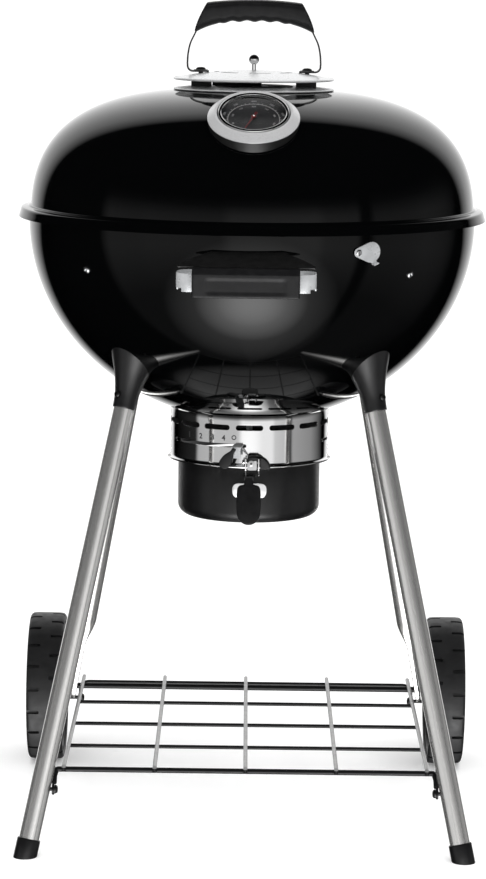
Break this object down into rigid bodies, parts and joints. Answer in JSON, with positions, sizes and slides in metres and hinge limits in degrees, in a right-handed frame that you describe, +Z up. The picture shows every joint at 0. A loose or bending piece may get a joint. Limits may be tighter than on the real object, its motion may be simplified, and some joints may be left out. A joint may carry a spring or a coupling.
{
  "type": "kettle charcoal grill",
  "caption": "Four-legged kettle charcoal grill: lift-off enamelled lid with dial thermometer and vent, bowl with grates, air ring with sweeper lever, ash pan, wire shelf and wheels.",
  "frame": {"origin": "middle of the bounding box at ground level", "axes": "+Z up along the bowl's axis, -Y towards the front with the thermometer, +X towards the right"},
  "size_m": [0.5997, 0.6863, 1.054],
  "materials": {
    "enamel_black": "gloss enamel",
    "steel_polished": "polished",
    "steel_brushed": "brushed",
    "grip_black": "fine texture",
    "pan_black": "satin",
    "socket_black": "satin",
    "wire_black": "gloss",
    "screw_black": "satin",
    "screw_steel": "satin",
    "grate_plated": "plated, satin",
    "grate_steel": "raw steel",
    "wheel_black": "satin moulded",
    "tyre_black": "satin moulded",
    "dial_grey": "matt",
    "needle_red": "matt",
    "lens_clear": "clear"
  },
  "bodies": {
    "stand": {"bowl_shell": "enamel_black", "leg_socket_front_left": "socket_black", "leg_socket_front_right": "socket_black", "leg_socket_rear_left": "socket_black", "leg_socket_rear_right": "socket_black", "socket_screws": "screw_black", "grate_brackets": "grate_steel", "bracket_screws": "screw_steel", "front_handle_bracket": "steel_brushed", "front_handle_guard": "wire_black", "front_handle_grip": "grip_black", "front_handle_screws": "screw_steel", "air_ring": "steel_polished", "pan_clip": "steel_brushed", "port_rivet": "screw_steel", "leg_front_left": "steel_brushed", "leg_front_right": "steel_brushed", "leg_rear_left": "steel_brushed", "leg_rear_right": "steel_brushed", "foot_cap_left": "grip_black", "foot_cap_right": "grip_black", "axle": "screw_steel", "axle_nuts": "screw_steel", "wire_shelf": "wire_black", "shelf_bolts": "screw_black"},
    "lid": {"lid_shell": "enamel_black", "lid_vent_plate": "steel_brushed", "heat_shield": "steel_polished", "shield_spacers": "grip_black", "lid_handle_strap": "wire_black", "lid_handle_grip": "grip_black", "handle_bolts": "screw_black", "thermometer_bezel": "steel_brushed", "thermometer_case": "grip_black", "thermometer_ring": "steel_polished", "thermometer_dial": "dial_grey", "thermometer_lens": "lens_clear", "thermometer_probe": "screw_steel"},
    "gauge_needle": {"thermometer_needle": "needle_red"},
    "damper": {"vent_damper": "pan_black", "damper_knob": "steel_polished"},
    "upper_grate": {"cooking_grate": "grate_plated"},
    "lower_grate": {"charcoal_grate": "grate_steel"},
    "sweeper": {"sweeper_blades": "grate_steel", "sweeper_arm": "steel_brushed", "sweeper_grip": "grip_black"},
    "pan": {"ash_pan": "pan_black", "pan_handle": "grip_black", "pan_handle_plate": "steel_polished", "latch_bracket": "steel_polished"},
    "latch": {"pan_latch": "grip_black", "latch_wire": "screw_steel"},
    "port": {"port_cover": "steel_polished"},
    "left_wheel": {"wheel_left": "wheel_black", "tyre_left": "tyre_black", "hub_cap_left": "wheel_black"},
    "right_wheel": {"wheel_right": "wheel_black", "tyre_right": "tyre_black", "hub_cap_right": "wheel_black"}
  },
  "joints": [
    {"name": "lid_lift", "type": "slide", "parent": "stand", "child": "lid", "axis": [0, 0, 1], "range_m": [0, 0.32]},
    {"name": "damper_turn", "type": "hinge", "parent": "lid", "child": "damper", "pos_m": [0, 0, 0.945], "axis": [0, 0, 1], "range_deg": [-20, 25]},
    {"name": "needle_turn", "type": "hinge", "parent": "lid", "child": "gauge_needle", "pos_m": [0, -0.2185, 0.91906], "axis": [0, -0.5, 0.866], "range_deg": [-286, 0]},
    {"name": "cooking_grate_lift", "type": "slide", "parent": "stand", "child": "upper_grate", "axis": [0, 0, 1], "range_m": [0, 0.045]},
    {"name": "charcoal_grate_lift", "type": "slide", "parent": "stand", "child": "lower_grate", "axis": [0, 0, 1], "range_m": [0, 0.09]},
    {"name": "sweeper_turn", "type": "hinge", "parent": "stand", "child": "sweeper", "pos_m": [0, 0, 0.493], "axis": [0, 0, 1], "range_deg": [-53, 0]},
    {"name": "ash_pan_drop", "type": "slide", "parent": "stand", "child": "pan", "axis": [0, 0, -1], "range_m": [0, 0.12]},
    {"name": "latch_turn", "type": "hinge", "parent": "pan", "child": "latch", "pos_m": [0, -0.114, 0.474], "axis": [1, 0, 0], "range_deg": [0, 20]},
    {"name": "port_cover_swing", "type": "hinge", "parent": "stand", "child": "port", "pos_m": [0.12858, -0.25571, 0.755], "axis": [0.5027, -0.8603, -0.0847], "range_deg": [-125, 0]},
    {"name": "left_wheel_spin", "type": "hinge", "parent": "stand", "child": "left_wheel", "pos_m": [-0.275, 0.241, 0.1015], "axis": [1, 0, 0], "continuous": true},
    {"name": "right_wheel_spin", "type": "hinge", "parent": "stand", "child": "right_wheel", "pos_m": [0.275, 0.241, 0.1015], "axis": [1, 0, 0], "continuous": true}
  ]
}
